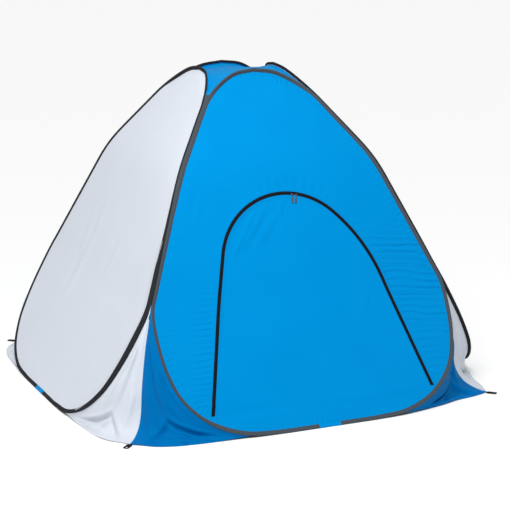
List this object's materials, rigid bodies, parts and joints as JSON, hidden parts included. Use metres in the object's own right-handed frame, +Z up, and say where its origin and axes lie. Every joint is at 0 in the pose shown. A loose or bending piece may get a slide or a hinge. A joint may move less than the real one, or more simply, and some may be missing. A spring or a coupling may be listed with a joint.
{
  "type": "ice fishing shelter",
  "caption": "Pop-up pyramid ice shelter of sprung hoop walls in blue and white fabric, with an arched zip door and pegged corner skirts.",
  "frame": {"origin": "centre of the footprint, on the ground", "axes": "+Z up, the door wall faces -Y, +X to the right of someone facing the door"},
  "size_m": [2.0148, 2.0148, 1.4699],
  "materials": {
    "blue_fabric": "azure blue woven polyester, slight sheen",
    "white_fabric": "cool white woven polyester, slight sheen",
    "grey_binding": "mid-grey woven binding tape",
    "charcoal_binding": "near-black woven binding tape",
    "black_webbing": "black polypropylene webbing",
    "zip_tape": "black coil zip and its tape",
    "zip_metal": "grey painted zinc",
    "spring_steel": "drawn spring steel",
    "ferrule_zinc": "plated steel tube"
  },
  "bodies": {
    "front_wall": {"door_zip_tape_wall_side": "zip_tape", "front_hoop_ferrule": "ferrule_zinc", "front_hoop_sleeve": "grey_binding", "front_hoop_wire": "spring_steel", "front_left_gusset_blue": "blue_fabric", "front_left_peg_loop": "black_webbing", "front_panel": "blue_fabric", "front_right_gusset_blue": "blue_fabric", "front_right_peg_loop": "black_webbing", "front_sleeve_patch": "blue_fabric", "roof_cap": "blue_fabric"},
    "left_wall": {"back_left_gusset_white": "white_fabric", "back_left_peg_loop": "black_webbing", "front_left_gusset_white": "white_fabric", "left_hoop_ferrule": "ferrule_zinc", "left_hoop_sleeve": "charcoal_binding", "left_hoop_wire": "spring_steel", "left_panel": "white_fabric", "left_sleeve_patch": "blue_fabric"},
    "right_wall": {"back_right_gusset_white": "white_fabric", "back_right_peg_loop": "black_webbing", "front_right_gusset_white": "white_fabric", "right_hoop_ferrule": "ferrule_zinc", "right_hoop_sleeve": "charcoal_binding", "right_hoop_wire": "spring_steel", "right_panel": "white_fabric", "right_sleeve_patch": "blue_fabric"},
    "back_wall": {"back_hoop_ferrule": "ferrule_zinc", "back_hoop_sleeve": "charcoal_binding", "back_hoop_wire": "spring_steel", "back_left_gusset_blue": "blue_fabric", "back_panel": "blue_fabric", "back_right_gusset_blue": "blue_fabric", "back_sleeve_patch": "blue_fabric"},
    "door": {"door_flap": "blue_fabric", "door_zip_tape_flap_side": "zip_tape"},
    "left_slider": {"left_zip_slider": "zip_metal"},
    "right_slider": {"right_zip_slider": "zip_metal"},
    "left_pull": {"left_zip_pull": "zip_metal"},
    "right_pull": {"right_zip_pull": "zip_metal"}
  },
  "joints": [
    {"name": "left_wall_fold", "type": "hinge", "parent": "front_wall", "child": "left_wall", "pos_m": [-0.7271, -0.7271, 0.6], "axis": [0.4294, 0.4294, 0.7945], "range_deg": [0, 15], "stiffness_Nm_per_rad": 20, "springref_deg": -14.32, "deforming": ["front_left_gusset_blue", "front_left_gusset_white", "roof_cap"]},
    {"name": "right_wall_fold", "type": "hinge", "parent": "front_wall", "child": "right_wall", "pos_m": [0.6651, -0.6651, 0.6], "axis": [-0.4294, 0.4294, 0.7945], "range_deg": [0, 15.95], "deforming": ["back_right_gusset_blue", "back_right_gusset_white", "front_right_gusset_blue", "front_right_gusset_white"]},
    {"name": "back_wall_fold", "type": "hinge", "parent": "left_wall", "child": "back_wall", "pos_m": [-0.6651, 0.6651, 0.6], "axis": [-0.4294, 0.4294, -0.7945], "range_deg": [0, 15.05], "deforming": ["back_left_gusset_blue", "back_left_gusset_white"]},
    {"name": "door_hinge", "type": "hinge", "parent": "front_wall", "child": "door", "pos_m": [0, -0.95003, 0.10216], "axis": [1, 0, 0], "range_deg": [0, 110]},
    {"name": "left_slider_travel", "type": "hinge", "parent": "door", "child": "left_slider", "pos_m": [-0.02, -0.66368, 0.6414], "axis": [0, -0.9187, 0.395], "range_deg": [0, 80]},
    {"name": "right_slider_travel", "type": "hinge", "parent": "door", "child": "right_slider", "pos_m": [-0.02, -0.66368, 0.6414], "axis": [0, 0.9187, -0.395], "range_deg": [0, 30]},
    {"name": "left_pull_swing", "type": "hinge", "parent": "left_slider", "child": "left_pull", "pos_m": [0.03313, -0.54139, 0.93441], "axis": [-0.9863, 0.0652, 0.1516], "range_deg": [0, 100]},
    {"name": "right_pull_swing", "type": "hinge", "parent": "right_slider", "child": "right_pull", "pos_m": [0.05132, -0.5428, 0.93111], "axis": [-0.9751, 0.0875, 0.2035], "range_deg": [0, 100]}
  ],
  "couplings": [
    {"joint": "right_wall_fold", "follows": "left_wall_fold", "ratio": 1.06},
    {"joint": "back_wall_fold", "follows": "left_wall_fold", "ratio": 1}
  ]
}
